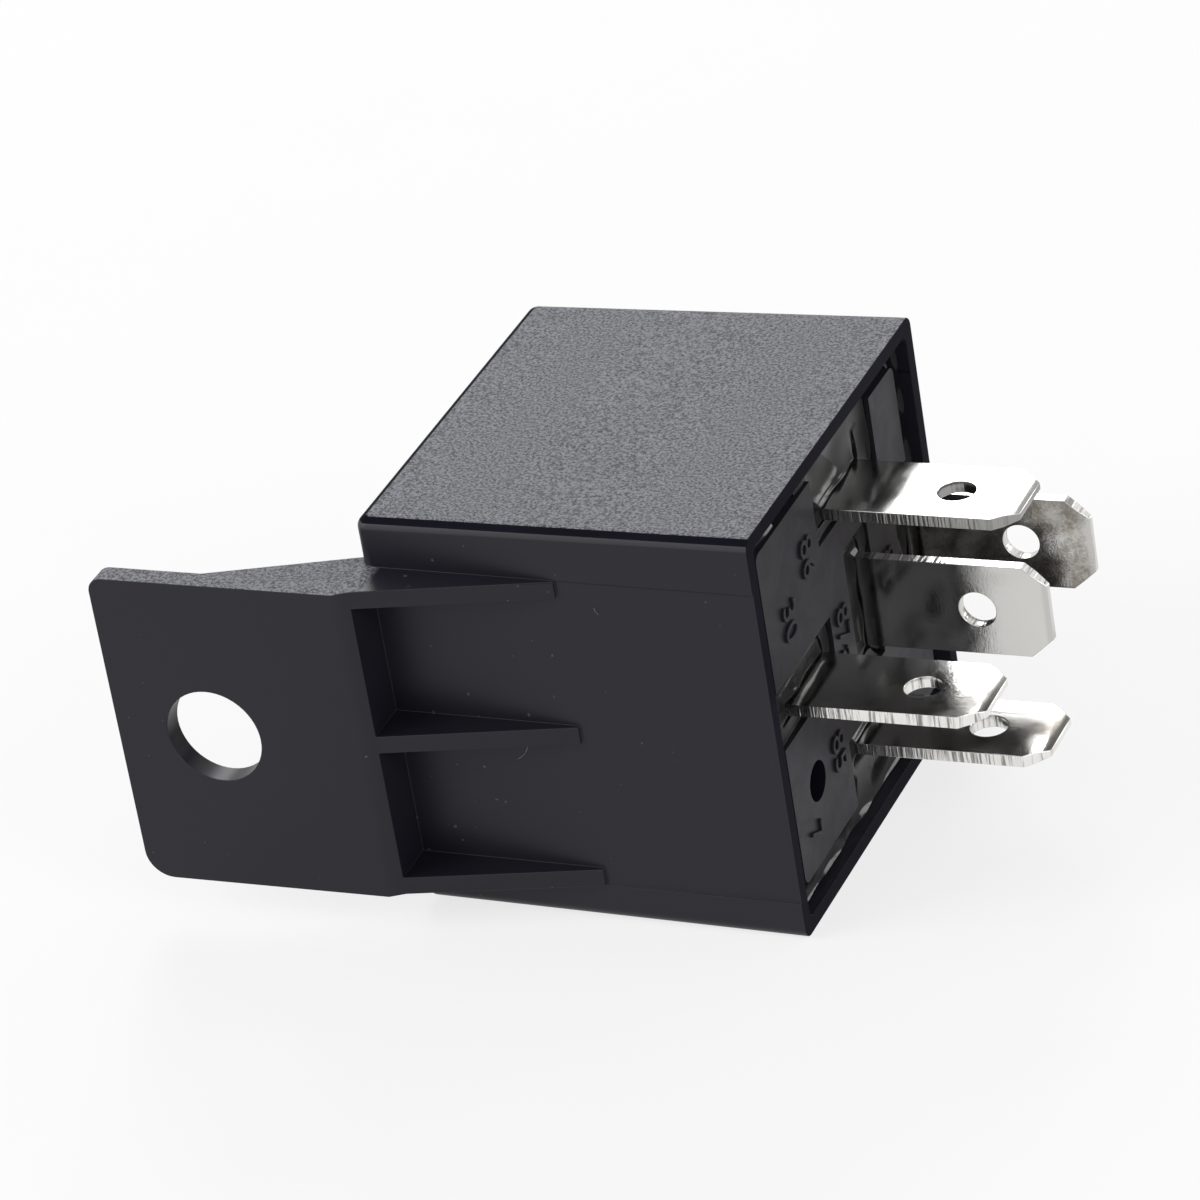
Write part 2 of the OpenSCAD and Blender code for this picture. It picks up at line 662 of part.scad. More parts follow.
// Tension spring: hook over the armature tail, coils, and hook behind the lug of the yoke
module return_spring() color([0.75, 0.75, 0.76]) placed() translate([0, spring_y, spring_z]) {
    hook = spring_wire + 0.05;
    coils_from = hinge_x + 1.6;
    coils_to = lug_x - 1.2;
    turns = 10;
    path = concat(
        [[armature_x - hook, 0, 1.2], [armature_x - hook, 0, 0.5], [armature_x, 0, 0.05],
            [armature_x + 0.6, 0, 0], [hinge_x + 0.8, 0, 0.1]],
        [for (i = [0 : turns * 12]) let (a = i * 30)
            [coils_from + (coils_to - coils_from) * i / (turns * 12),
                spring_r * sin(a), spring_r * cos(a)]],
        [[lug_x - 0.5, 0, 0.1], [lug_x + lug_thick / 2, 0, 0], [lug_x + lug_thick, 0, 0.05],
            [lug_x + lug_thick + hook, 0, 0.5], [lug_x + lug_thick + hook, 0, 1.2]]);
    tube(path, spring_wire, 6);
}

// Flat braid: lies on the yoke, loops over the end of the armature and lies on the leaf
module braid() color([0.72, 0.42, 0.2]) placed() {
    half = braid_thick / 2;
    yoke_line = leg_outer - half;
    leaf_line = leaf_x - half;
    line = smooth([[hinge_x + 7, yoke_line], [hinge_x + 4.5, yoke_line], [hinge_x + 2, yoke_line],
        [hinge_x + 0.5, yoke_line - 1], [leaf_x - 1.2, yoke_line - 1.2],
        [leaf_x - 2, yoke_line + 0.8], [leaf_x - 1.4, yoke_line + 2.4],
        [leaf_line, yoke_line + 3.2], [leaf_line, yoke_line + 4.4], [leaf_line, yoke_line + 6]], 6);
    t = tangents(line);
    last = len(line) - 1;
    along_z(mid_z - braid_width / 2, braid_width) polygon(concat(
        [for (i = [0 : last]) line[i] + half * [-t[i][1], t[i][0]]],
        [for (i = [last : -1 : 0]) line[i] - half * [-t[i][1], t[i][0]]]));
}

case();
base();
sealing_resin();
sealing_resin_87a();
terminal_30();
terminal_85();
terminal_86();
terminal_87();
terminal_87a();
yoke();
core();
bobbin();
coil_winding();
coil_lead_start();
coil_lead_finish();
armature();
contact_leaf();
leaf_rivet_lower();
leaf_rivet_upper();
moving_contact();
open_contact();
closed_contact();
return_spring();
braid();
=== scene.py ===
"""Looks of a plug-in vehicle relay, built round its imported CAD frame.

Run as a script: every piece has its own operator, and main() calls them in order.
"""

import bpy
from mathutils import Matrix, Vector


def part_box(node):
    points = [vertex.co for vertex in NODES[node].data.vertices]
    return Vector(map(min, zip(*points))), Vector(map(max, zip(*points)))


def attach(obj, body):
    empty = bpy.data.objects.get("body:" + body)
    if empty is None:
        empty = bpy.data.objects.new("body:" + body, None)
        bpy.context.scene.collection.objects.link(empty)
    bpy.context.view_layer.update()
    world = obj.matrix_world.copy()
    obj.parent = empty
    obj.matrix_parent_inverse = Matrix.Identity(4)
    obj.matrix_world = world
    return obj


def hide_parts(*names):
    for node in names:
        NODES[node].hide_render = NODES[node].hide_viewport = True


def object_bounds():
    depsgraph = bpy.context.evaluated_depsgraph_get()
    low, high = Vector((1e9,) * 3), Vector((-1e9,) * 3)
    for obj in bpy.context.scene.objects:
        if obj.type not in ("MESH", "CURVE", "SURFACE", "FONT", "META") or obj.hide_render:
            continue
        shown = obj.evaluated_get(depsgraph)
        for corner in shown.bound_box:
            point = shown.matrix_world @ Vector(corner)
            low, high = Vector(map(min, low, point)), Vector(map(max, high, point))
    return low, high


bl_info = {
    "name": "Plug-in Relay Looks",
    "version": (1, 0, 0),
    "blender": (4, 5, 0),
    "location": "View3D > Sidebar > Relay",
    "description": "Finishes, numbers, resin and stage of a plug-in vehicle relay",
    "category": "Object",
}

import math

import bmesh
import bpy
import numpy as np
from bpy.props import FloatProperty, FloatVectorProperty, PointerProperty
from mathutils import Matrix, Vector

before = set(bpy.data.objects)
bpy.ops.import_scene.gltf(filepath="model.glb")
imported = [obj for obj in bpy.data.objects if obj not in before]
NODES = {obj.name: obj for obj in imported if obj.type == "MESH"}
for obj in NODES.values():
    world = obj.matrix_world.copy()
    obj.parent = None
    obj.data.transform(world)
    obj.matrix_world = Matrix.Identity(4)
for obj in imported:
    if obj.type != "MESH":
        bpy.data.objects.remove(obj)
CAD_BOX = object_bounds()

MM = 0.001
BODY = "relay_body"
X, Y, Z = range(3)

# Sizes that no box in the frame gives; the wall is the one round the base, at the rim
CASE_DEPTH = 25.85 * MM
RIM_WALL = 1.0 * MM
BLADE_HALF_WIDTH = 3.15 * MM
BLADE_HALF_THICKNESS = 0.4 * MM
VENT_RADIUS = 1.3 * MM
FIGURE_SIZE = 2.7 * MM

# In a softened piece: corners that are welded, faces that are joined, edges that are rounded
WELD = 1e-6
FLAT_ANGLE = math.radians(0.4)
SHARP_ANGLE = math.radians(28)

# Places read from the frame, in metres
CASE_LOW, CASE_HIGH = (Vector(p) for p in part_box("case"))
BASE_HIGH = Vector(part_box("base")[1])
RESIN_LOW, RESIN_HIGH = (Vector(p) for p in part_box("sealing_resin"))
POOL_LOW, POOL_HIGH = (Vector(p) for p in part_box("sealing_resin_87a"))
MIDDLE_Z = (CASE_LOW.z + CASE_HIGH.z) / 2
FRONT_Y = RESIN_LOW.y - RIM_WALL
CLOSED_END = CASE_HIGH.x - CASE_DEPTH


def middle(node):
    """Middle of a node's box."""
    low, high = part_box(node)
    return (Vector(low) + Vector(high)) / 2


COIL_Y = middle("terminal_86").y
UPPER_Z = middle("terminal_86").z
LOWER_Z = middle("terminal_85").z
BLADE_30_Y = middle("terminal_30").y
BLADE_87A_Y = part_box("terminal_87a")[0][1] + BLADE_HALF_THICKNESS
BLADE_87_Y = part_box("terminal_87")[1][1] - BLADE_HALF_THICKNESS
VENT_Y, VENT_Z = BLADE_30_Y - 0.85 * MM, MIDDLE_Z - 6.45 * MM
# Seam across the front of the case, just under the level of the tab's upper edge, with a
# dark line painted along it as shadow
SEAM_Z = CASE_LOW.z + 24.36 * MM


# ---- Settings -----------------------------------------------------------------------------

def colour(name, description, default):
    """A linear colour setting."""
    return FloatVectorProperty(name=name, description=description, subtype="COLOR",
                               size=3, min=0.0, max=1.0, default=default)


def length(name, description, default):
    """A length setting in metres."""
    return FloatProperty(name=name, description=description, unit="LENGTH",
                         default=default, min=0.0, precision=5)


class RelayCaseSettings(bpy.types.PropertyGroup):
    """Moulded case and base."""
    plastic: colour("Plastic", "Colour of the case", (0.0105, 0.0094, 0.0155))
    # The paler colour of the grain's tops is painted highlight on faces that look up
    crest_highlights: colour("Grain crests", "Colour of the rubbed crests of the grain",
                   (0.215, 0.222, 0.25))
    base: colour("Base plastic", "Colour of the base", (0.0185, 0.017, 0.0215))
    edge: length("Edge softening", "Rounding of the moulded edges", 0.13 * MM)
    grain: length("Grain depth", "Depth of the eroded grain on upward faces", 0.1 * MM)
    grain_size: length("Grain size", "Width of one grain", 0.19 * MM)


class RelayBladeSettings(bpy.types.PropertyGroup):
    """Plated terminals."""
    plating: colour("Plating", "Colour of the tin plating", (0.66, 0.65, 0.63))
    edge: length("Edge softening", "Rounding of the stamped edges", 0.05 * MM)


class RelayResinSettings(bpy.types.PropertyGroup):
    """Resin poured over the base."""
    resin: colour("Resin", "Colour of the resin", (0.004, 0.004, 0.005))
    climb: length("Climb", "How far the resin climbs at walls and blades", 0.4 * MM)
    reach: length("Climb reach", "How far out the climb is felt", 0.55 * MM)
    ripple: length("Ripple", "Unevenness of the resin", 0.035 * MM)


class RelayStageSettings(bpy.types.PropertyGroup):
    """Camera, floor and light."""
    azimuth: FloatProperty(name="Azimuth", description="Camera angle from the front",
                           subtype="ANGLE", default=math.radians(26.90))
    elevation: FloatProperty(name="Elevation", description="Camera angle above the floor",
                             subtype="ANGLE", default=math.radians(29.01))
    roll: FloatProperty(name="Roll", description="Turn of the camera about its axis",
                        subtype="ANGLE", default=math.radians(-9.77))
    distance: length("Distance", "Camera distance", 390.07 * MM)
    lens: FloatProperty(name="Focal length", description="Lens in millimetres",
                        default=186.03, min=20.0)


# ---- Helpers ------------------------------------------------------------------------------

def linked(name, data, *materials):
    """Object at the origin with this mesh, curve, lamp or camera and these materials."""
    obj = bpy.data.objects.new(name, data)
    bpy.context.scene.collection.objects.link(obj)
    for mat in materials:
        data.materials.append(mat)
    return obj


def add_piece(obj, slot, *replaced):
    """Put a finished piece under the relay's body, and hide the CAD nodes that it replaces.
    """
    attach(obj, BODY)
    if replaced:
        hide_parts(*replaced)


def softened(name, node, width, *materials):
    """Copy of a CAD node, welded, with whole flat faces and fine round edges."""
    source = NODES[node]
    mesh = source.data.copy()
    mesh.name = name
    mesh.transform(source.matrix_world)
    mesh.materials.clear()
    bm = bmesh.new()
    bm.from_mesh(mesh)
    bmesh.ops.remove_doubles(bm, verts=bm.verts, dist=WELD)
    bmesh.ops.dissolve_limit(bm, angle_limit=FLAT_ANGLE, verts=bm.verts, edges=bm.edges)
    bmesh.ops.recalc_face_normals(bm, faces=bm.faces)
    bm.to_mesh(mesh)
    bm.free()
    mesh.shade_smooth()
    obj = linked(name, mesh, *materials)
    bevel = obj.modifiers.new("Soft edges", "BEVEL")
    bevel.width = width
    bevel.segments = 2
    bevel.limit_method = "ANGLE"
    bevel.angle_limit = SHARP_ANGLE
    bevel.miter_outer = "MITER_ARC"
    bevel.use_clamp_overlap = True
    normals = obj.modifiers.new("Flat faces", "WEIGHTED_NORMAL")
    normals.mode = "FACE_AREA"
    normals.weight = 90
    normals.keep_sharp = True
    return obj


def finish_node(node, mat):
    """Give a CAD node a finish of its own."""
    NODES[node].data.materials.clear()
    NODES[node].data.materials.append(mat)


def toned(tone, factor):
    """A colour made darker or lighter, with no part over 1."""
    return tuple(min(1.0, part * factor) for part in tone)


def lifted(tone, grey):
    """A colour with some grey added."""
    return tuple(part + grey for part in tone)


def seen_rays(tree):
    """1 for camera, glossy and transmission rays, and 0 for those that only light."""
    paths = tree.nodes.new("ShaderNodeLightPath")
    seen = paths.outputs["Is Camera Ray"]
    for kind in ("Is Glossy Ray", "Is Transmission Ray"):
        either = tree.nodes.new("ShaderNodeMath")
        either.operation = "MAXIMUM"
        tree.links.new(seen, either.inputs[0])
        tree.links.new(paths.outputs[kind], either.inputs[1])
        seen = either.outputs[0]
    return seen


class Finish:
    """A material with one principled shader, and short calls for its texture nodes."""

    def __init__(self, name, base, roughness, metallic=0.0, **sockets):
        self.mat = bpy.data.materials.new(name)
        self.mat.use_nodes = True
        self.tree = self.mat.node_tree
        self.shader = self.tree.nodes["Principled BSDF"]
        self.coords = self.tree.nodes.new("ShaderNodeTexCoord")
        self.set("Base Color", (*base, 1.0))
        self.set("Roughness", roughness)
        self.set("Metallic", metallic)
        for key, value in sockets.items():
            self.set(key.replace("_", " "), value)

    def set(self, socket, value):
        """Set one of the shader's own sockets."""
        self.shader.inputs[socket].default_value = value

    def link(self, out, into):
        """Join an output to a socket."""
        self.tree.links.new(out, into)

    def node(self, kind, **values):
        """New node with its properties set."""
        new = self.tree.nodes.new("ShaderNode" + kind)
        for key, value in values.items():
            setattr(new, key, value)
        return new

    def mapped(self, scale, turn=(0.0, 0.0, 0.0)):
        """Object coordinates, turned and scaled."""
        mapping = self.node("Mapping")
        mapping.inputs["Rotation"].default_value = turn
        mapping.inputs["Scale"].default_value = scale
        self.link(self.coords.outputs["Object"], mapping.inputs["Vector"])
        return mapping.outputs["Vector"]

    def noise(self, scale, detail=2.0, rough=0.5, vector=None, distortion=0.0):
        """Noise on object coordinates; scale is in cycles a metre."""
        tex = self.node("TexNoise")
        tex.inputs["Scale"].default_value = scale
        tex.inputs["Detail"].default_value = detail
        tex.inputs["Roughness"].default_value = rough
        tex.inputs["Distortion"].default_value = distortion
        self.link(vector or self.coords.outputs["Object"], tex.inputs["Vector"])
        return tex.outputs["Fac"]

    def ranged(self, value, low, high, to_low=0.0, to_high=1.0):
        """Value carried smoothly from one range to another."""
        rng = self.node("MapRange", interpolation_type="SMOOTHSTEP")
        for socket, number in (("From Min", low), ("From Max", high),
                               ("To Min", to_low), ("To Max", to_high)):
            rng.inputs[socket].default_value = number
        self.link(value, rng.inputs["Value"])
        return rng.outputs["Result"]

    def math(self, operation, a, b=None):
        """Sum, product or other operation on values or numbers."""
        calc = self.node("Math", operation=operation)
        for socket, value in zip(calc.inputs, (a, b)):
            if isinstance(value, (int, float)):
                socket.default_value = value
            elif value is not None:
                self.link(value, socket)
        return calc.outputs[0]

    def times(self, a, b):
        """Product of two values or numbers."""
        return self.math("MULTIPLY", a, b)

    def normal_part(self, axis):
        """Size of the surface normal along an axis, on the object itself."""
        parts = self.node("SeparateXYZ")
        self.link(self.coords.outputs["Normal"], parts.inputs[0])
        return parts.outputs[axis]

    def place(self, axis):
        """Place along an axis of the object."""
        parts = self.node("SeparateXYZ")
        self.link(self.coords.outputs["Object"], parts.inputs[0])
        return parts.outputs[axis]

    def mix(self, factor, a, b):
        """Colour between a and b; each is a colour or an output."""
        blend = self.node("Mix", data_type="RGBA")
        self.link(factor, blend.inputs[0])
        for socket, value in ((blend.inputs[6], a), (blend.inputs[7], b)):
            if isinstance(value, tuple):
                socket.default_value = (*value, 1.0)
            else:
                self.link(value, socket)
        return blend.outputs[2]

    def bump(self, height, depth, strength=1.0, below=None):
        """Bump of this depth in metres, over an earlier one."""
        bump = self.node("Bump")
        bump.inputs["Distance"].default_value = depth
        if isinstance(strength, float):
            bump.inputs["Strength"].default_value = strength
        else:
            self.link(strength, bump.inputs["Strength"])
        self.link(height, bump.inputs["Height"])
        if below is not None:
            self.link(below, bump.inputs["Normal"])
        return bump.outputs["Normal"]

    def wear(self, colour_out=None, rough_out=None, normal_out=None):
        """Join the worked-out colour, roughness and normal to the shader."""
        for out, socket in ((colour_out, "Base Color"), (rough_out, "Roughness"),
                            (normal_out, "Normal")):
            if out is not None:
                self.link(out, self.shader.inputs[socket])
        return self.mat


# ---- Finishes -----------------------------------------------------------------------------

def grained_faces(fin, upward):
    """Where the grain lies: faces that look up at the top of the case, and on the tab and
    its webs as far as the closed end of the case."""
    on_top = fin.ranged(fin.place(Z), CASE_HIGH.z - 1.2 * MM, CASE_HIGH.z - 0.7 * MM)
    on_webs = fin.ranged(fin.place(Z), CASE_LOW.z + 21.5 * MM, CASE_LOW.z + 22.0 * MM)
    at_tab = fin.ranged(fin.place(X), CLOSED_END + 0.9 * MM, CLOSED_END + 1.4 * MM, 1.0, 0.0)
    places = fin.math("MAXIMUM", on_top, fin.times(on_webs, at_tab))
    return fin.times(fin.ranged(upward, 0.75, 0.95), places)


def painted_seam_shadow(fin):
    """Painted shadow: a dark line along the fine seam across the front of the case, but not
    over the ribs.
    """
    from_seam = fin.math("ABSOLUTE", fin.math("SUBTRACT", fin.place(Z), SEAM_Z))
    facing = fin.ranged(fin.normal_part(Y), -0.95, -0.9, 1.0, 0.0)
    behind_ribs = fin.ranged(fin.place(Y), FRONT_Y - 0.6 * MM, FRONT_Y - 0.4 * MM)
    return fin.times(fin.ranged(from_seam, 0.04 * MM, 0.12 * MM, 1.0, 0.0),
                     fin.times(facing, behind_ribs))


def case_plastic(settings):
    """Black moulded plastic: satin sides with a few specks, a paler band of painted sheen
    where the upper edges start to round, a dark line of painted shadow along the front seam,
    and eroded grain on faces that look up, the top of each grain painted paler as highlight."""
    base = tuple(settings.plastic)
    fin = Finish("Moulded plastic", base, 0.42, Specular_IOR_Level=0.28)
    upward = fin.normal_part(Z)
    grained = grained_faces(fin, upward)
    per_grain = 1 / settings.grain_size
    grain = fin.noise(per_grain, 3.0, 0.62)
    pits = fin.noise(per_grain * 2.3, 1.0, 0.5)
    grain_height = fin.math("ADD", grain, fin.times(pits, 0.35))
    fine = fin.noise(9000.0, 2.0, 0.6)
    normal = fin.bump(fine, 0.004 * MM, 0.6)
    normal = fin.bump(grain_height, settings.grain, grained, below=normal)
    rough = fin.math("ADD", 0.4, fin.times(grained, 0.1))
    cloudy = fin.noise(140.0, 3.0, 0.6)
    specks = fin.ranged(fin.noise(2600.0, 0.0, 0.5), 0.85, 0.865)
    # Painted sheen: a paler band where the upper edges start to round, chosen by how far the
    # face looks up
    shoulder_sheen = fin.times(fin.ranged(upward, 0.1, 0.3),
                         fin.ranged(upward, 0.5, 0.65, 1.0, 0.0))
    satin = fin.mix(cloudy, toned(base, 0.95), toned(base, 1.05))
    satin = fin.mix(specks, satin, lifted(base, 0.05))
    satin = fin.mix(shoulder_sheen, satin, lifted(base, 0.022))
    # Painted shadow: a dark line along the seam across the front
    satin = fin.mix(painted_seam_shadow(fin), satin, toned(base, 0.2))
    # Painted highlight: the tops of the grain on faces that look up, made paler
    crest_highlights = fin.times(fin.ranged(grain_height, 0.5, 0.83), grained)
    return fin.wear(fin.mix(crest_highlights, satin, tuple(settings.crest_highlights)), rough, normal)


def painted_shade_plastic(name, settings):
    """The case's plastic made darker and almost without gloss, as painted shade: rim, upper
    edges and vent.
    """
    base = toned(settings.plastic, 0.8)
    fin = Finish(name, base, 0.5, Specular_IOR_Level=0.01)
    fine = fin.noise(7000.0, 2.0, 0.6)
    flow = fin.noise(300.0, 2.0, 0.5)
    return fin.wear(fin.mix(flow, toned(base, 0.8), toned(base, 1.2)), None,
                    fin.bump(fine, 0.004 * MM, 0.6))


def base_plastic(settings):
    """Glass-filled black plastic of the base, smoother than the case."""
    base = tuple(settings.base)
    fin = Finish("Base plastic", base, 0.42, Specular_IOR_Level=0.1)
    flow = fin.noise(420.0, 3.0, 0.6, distortion=0.6)
    fine = fin.noise(7000.0, 2.0, 0.6)
    normal = fin.bump(flow, 0.012 * MM, 0.35)
    normal = fin.bump(fine, 0.004 * MM, 0.5, below=normal)
    return fin.wear(fin.mix(flow, toned(base, 0.8), toned(base, 1.3)),
                    fin.ranged(flow, 0.3, 0.7, 0.34, 0.46), normal)


def resin_finish(settings):
    """Cast resin: glossy, a little wavy."""
    fin = Finish("Sealing resin", tuple(settings.resin), 0.12, Specular_IOR_Level=0.12)
    waves = fin.noise(300.0, 1.0, 0.5)
    dust = fin.noise(3000.0, 1.0, 0.5)
    return fin.wear(None, fin.ranged(dust, 0.5, 0.85, 0.08, 0.22),
                    fin.bump(waves, 0.1 * MM, 0.5))


def tin_plate(name, settings, broad_axis, slope_shade=0.85, stain=0.0, side=1.0):
    """Tin plate on a blade: rolled along its length, sheared across its thin sides.

    broad_axis is the axis that the broad faces look along. slope_shade is the tone of the
    pressed slopes at the tip, painted shade; side that of the sheared thin sides, painted
    light above 1 and shade below it; and stain how far the plate has gone brown."""
    plate = tuple(settings.plating)
    fin = Finish(name, plate, 0.2, metallic=1.0)
    broad = fin.ranged(fin.math("ABSOLUTE", fin.normal_part(broad_axis)), 0.3, 0.6)
    thin = fin.math("SUBTRACT", 1.0, broad)
    rolled = fin.noise(1.0, 3.0, 0.6, fin.mapped((160.0, 5200.0, 5200.0)))
    sheared = fin.noise(1.0, 2.0, 0.6, fin.mapped((4000.0, 260.0, 260.0)))
    dents = fin.noise(700.0, 3.0, 0.55)
    sand = fin.noise(6500.0, 2.0, 0.6)
    dull = fin.noise(260.0, 4.0, 0.6, distortion=0.4)
    normal = fin.bump(dents, 0.012 * MM, 0.5)
    normal = fin.bump(rolled, 0.0025 * MM, broad, below=normal)
    normal = fin.bump(sand, 0.0035 * MM, broad, below=normal)
    normal = fin.bump(sheared, 0.05 * MM, thin, below=normal)
    rough = fin.math("ADD", fin.ranged(dull, 0.35, 0.7, 0.1, 0.19), fin.times(thin, 0.12))
    tint = fin.mix(dull, toned(plate, 0.9), toned(plate, 1.08))
    if stain:
        patches = fin.noise(620.0, 8.0, 0.8)
        browned = fin.times(fin.ranged(patches, 0.38, 0.62), stain)
        tint = fin.mix(browned, tint, (0.24, 0.205, 0.16))
    # Painted shade on the pressed slopes at the tip; on the thin sides the tone side,
    # painted light above 1 and painted shade below 1
    tilt = fin.math("ABSOLUTE", fin.normal_part(X))
    slope = fin.times(fin.ranged(tilt, 0.1, 0.17), fin.ranged(tilt, 0.4, 0.6, 1.0, 0.0))
    tint = fin.mix(fin.times(slope, broad), tint, toned(plate, slope_shade))
    tint = fin.mix(thin, tint, toned(plate, side))
    torn = fin.times(fin.ranged(sheared, 0.48, 0.68), thin)
    return fin.wear(fin.mix(torn, tint, toned(plate, 0.4)), rough, normal)


def metal(name, base, rough, grain=2600.0, depth=0.006, stretch=(1.0, 1.0, 1.0)):
    """Plain metal with a fine uneven grain: grain is in cycles a metre, depth in mm."""
    fin = Finish(name, base, rough, metallic=1.0)
    fine = fin.noise(1.0, 3.0, 0.6, fin.mapped(tuple(grain * part for part in stretch)))
    cloudy = fin.noise(500.0, 3.0, 0.6)
    return fin.wear(fin.mix(cloudy, toned(base, 0.86), base),
                    fin.ranged(cloudy, 0.3, 0.7, rough * 0.75, rough * 1.3),
                    fin.bump(fine, depth * MM, 0.6))


def enamelled_wire():
    """Enamelled copper: coppery, with a clear coat."""
    fin = Finish("Enamelled copper", (0.47, 0.13, 0.045), 0.3, metallic=0.85,
                 Coat_Weight=0.6, Coat_Roughness=0.12)
    tone = fin.noise(1300.0, 2.0, 0.6)
    return fin.wear(fin.mix(tone, (0.33, 0.08, 0.03), (0.56, 0.18, 0.07)), None,
                    fin.bump(tone, 0.01 * MM, 0.5))


def woven_copper():
    """Braid of bare copper strands that cross at a slant."""
    fin = Finish("Woven copper", (0.62, 0.27, 0.13), 0.36, metallic=1.0)
    strands = []
    for turn in (0.7, -0.7):
        wave = fin.node("TexWave", wave_type="BANDS", bands_direction="X")
        wave.inputs["Scale"].default_value = 1100.0
        wave.inputs["Distortion"].default_value = 0.4
        turned = fin.mapped((1.0, 1.0, 1.0), (0.0, turn, turn))
        fin.link(turned, wave.inputs["Vector"])
        strands.append(wave.outputs["Fac"])
    crossed = fin.math("MAXIMUM", *strands)
    return fin.wear(fin.mix(crossed, (0.2, 0.07, 0.03), (0.7, 0.32, 0.16)), None,
                    fin.bump(crossed, 0.05 * MM, 0.8))


def bobbin_nylon():
    """Natural nylon of the bobbin, slightly translucent."""
    fin = Finish("Bobbin nylon", (0.72, 0.68, 0.56), 0.4, Subsurface_Weight=0.15)
    fin.set("Subsurface Scale", 0.5 * MM)
    tone = fin.noise(350.0, 3.0, 0.6)
    return fin.wear(fin.mix(tone, (0.66, 0.62, 0.5), (0.76, 0.72, 0.61)), None,
                    fin.bump(fin.noise(6000.0), 0.004 * MM, 0.5))


# ---- Surfaces -----------------------------------------------------------------------------

def grid_mesh(name, points, closed_rows=False):
    """Mesh of a grid of points (rows, columns, 3): one four-sided face for each cell."""
    rows, columns = points.shape[:2]
    r = np.arange(rows if closed_rows else rows - 1)[:, None]
    c = np.arange(columns - 1)[None, :]
    r_next = (r + 1) % rows
    faces = np.stack([r * columns + c, r_next * columns + c,
                      r_next * columns + c + 1, r * columns + c + 1], axis=-1)
    mesh = bpy.data.meshes.new(name)
    mesh.from_pydata(points.reshape(-1, 3), [], faces.reshape(-1, 4).tolist())
    mesh.shade_smooth()
    return mesh


def box_distance(y, z, low, high):
    """Signed distance from (y, z) to a rectangle: below nought inside it."""
    dy = np.maximum(low[0] - y, y - high[0])
    dz = np.maximum(low[1] - z, z - high[1])
    outside = np.hypot(np.maximum(dy, 0), np.maximum(dz, 0))
    return outside + np.minimum(np.maximum(dy, dz), 0)


def base_pockets():
    """Pockets of the base round the five blades: low and high corners in y and z."""
    far = 40 * MM
    return [
        ((-far, MIDDLE_Z - 1.9 * MM), (BLADE_30_Y + 4.5 * MM, MIDDLE_Z + 2.1 * MM)),
        ((COIL_Y - 4.7 * MM, UPPER_Z - 1.4 * MM), (COIL_Y + 5.8 * MM, far)),
        ((COIL_Y - 4.7 * MM, -far), (COIL_Y + 5.8 * MM, LOWER_Z + 1.4 * MM)),
        ((POOL_LOW.y, POOL_LOW.z), (POOL_HIGH.y, POOL_HIGH.z)),
        ((BLADE_87_Y - 2.3 * MM, MIDDLE_Z - 4.8 * MM), (far, MIDDLE_Z + 4.8 * MM)),
    ]


def blade_sections():
    """Sections of the blades at the base: low and high corners in y and z."""
    wide, thin = BLADE_HALF_WIDTH, BLADE_HALF_THICKNESS
    flat = [(BLADE_30_Y, MIDDLE_Z), (COIL_Y, UPPER_Z), (COIL_Y, LOWER_Z)]
    upright = [(BLADE_87A_Y, MIDDLE_Z), (BLADE_87_Y, MIDDLE_Z)]
    return ([((y - wide, z - thin), (y + wide, z + thin)) for y, z in flat]
            + [((y - thin, z - wide), (y + thin, z + wide)) for y, z in upright])


def plateau_distance(y, z):
    """Signed distance to the raised face of the base: the plate less its pockets."""
    channel = 1.4 * MM
    low = (RESIN_LOW.y + channel, RESIN_LOW.z + channel)
    high = (RESIN_HIGH.y - channel, RESIN_HIGH.z - channel)
    distance = box_distance(y, z, low, high)
    for pocket in base_pockets():
        distance = np.maximum(distance, -box_distance(y, z, *pocket))
    return distance


def resin_height(y, z, settings):
    """Depth x of the resin's face: level, plus a climb that dies away exponentially with
    the distance to the nearest wall or blade, plus slow sine ripples."""
    wall = -box_distance(y, z, (RESIN_LOW.y, RESIN_LOW.z), (RESIN_HIGH.y, RESIN_HIGH.z))
    nearest = np.minimum(wall, plateau_distance(y, z))
    for section in blade_sections():
        nearest = np.minimum(nearest, box_distance(y, z, *section))
    nearest = np.maximum(nearest, 0)
    uneven = (np.sin(y * 1300 + 1.3) * np.cos(z * 1100 - 0.4) * 0.5
              + np.sin((y + z) * 1900) * 0.25 + np.cos((y - 2 * z) * 900 + 0.7) * 0.4)
    climb = settings.climb * (1 + 0.2 * uneven) * np.exp(-nearest / settings.reach)
    return RESIN_HIGH.x - 0.03 * MM + climb + settings.ripple * uneven


def resin_sheet(name, low, high, steps, height):
    """Closed slab over a rectangle in y and z: its face is height(y, z), its back is flat.

    The grid is wrapped down at its border to the back, so that nothing is left open."""
    y = np.linspace(low[0], high[0], steps[0])
    z = np.linspace(low[1], high[1], steps[1])
    back = RESIN_LOW.x - 0.8 * MM
    y_all = np.concatenate([[y[0]], y, [y[-1]]])
    z_all = np.concatenate([[z[0]], z, [z[-1]]])
    yy, zz = np.meshgrid(y_all, z_all, indexing="ij")
    xx = height(yy, zz)
    xx[0, :] = xx[-1, :] = xx[:, 0] = xx[:, -1] = back
    mesh = grid_mesh(name, np.stack([xx, yy, zz], axis=-1))
    bm = bmesh.new()
    bm.from_mesh(mesh)
    bmesh.ops.remove_doubles(bm, verts=bm.verts, dist=1e-7)
    bmesh.ops.holes_fill(bm, edges=[e for e in bm.edges if e.is_boundary], sides=0)
    bmesh.ops.recalc_face_normals(bm, faces=bm.faces)
    bm.to_mesh(mesh)
    bm.free()
    mesh.shade_smooth()
    mesh.set_sharp_from_angle(angle=math.radians(50))
    return mesh


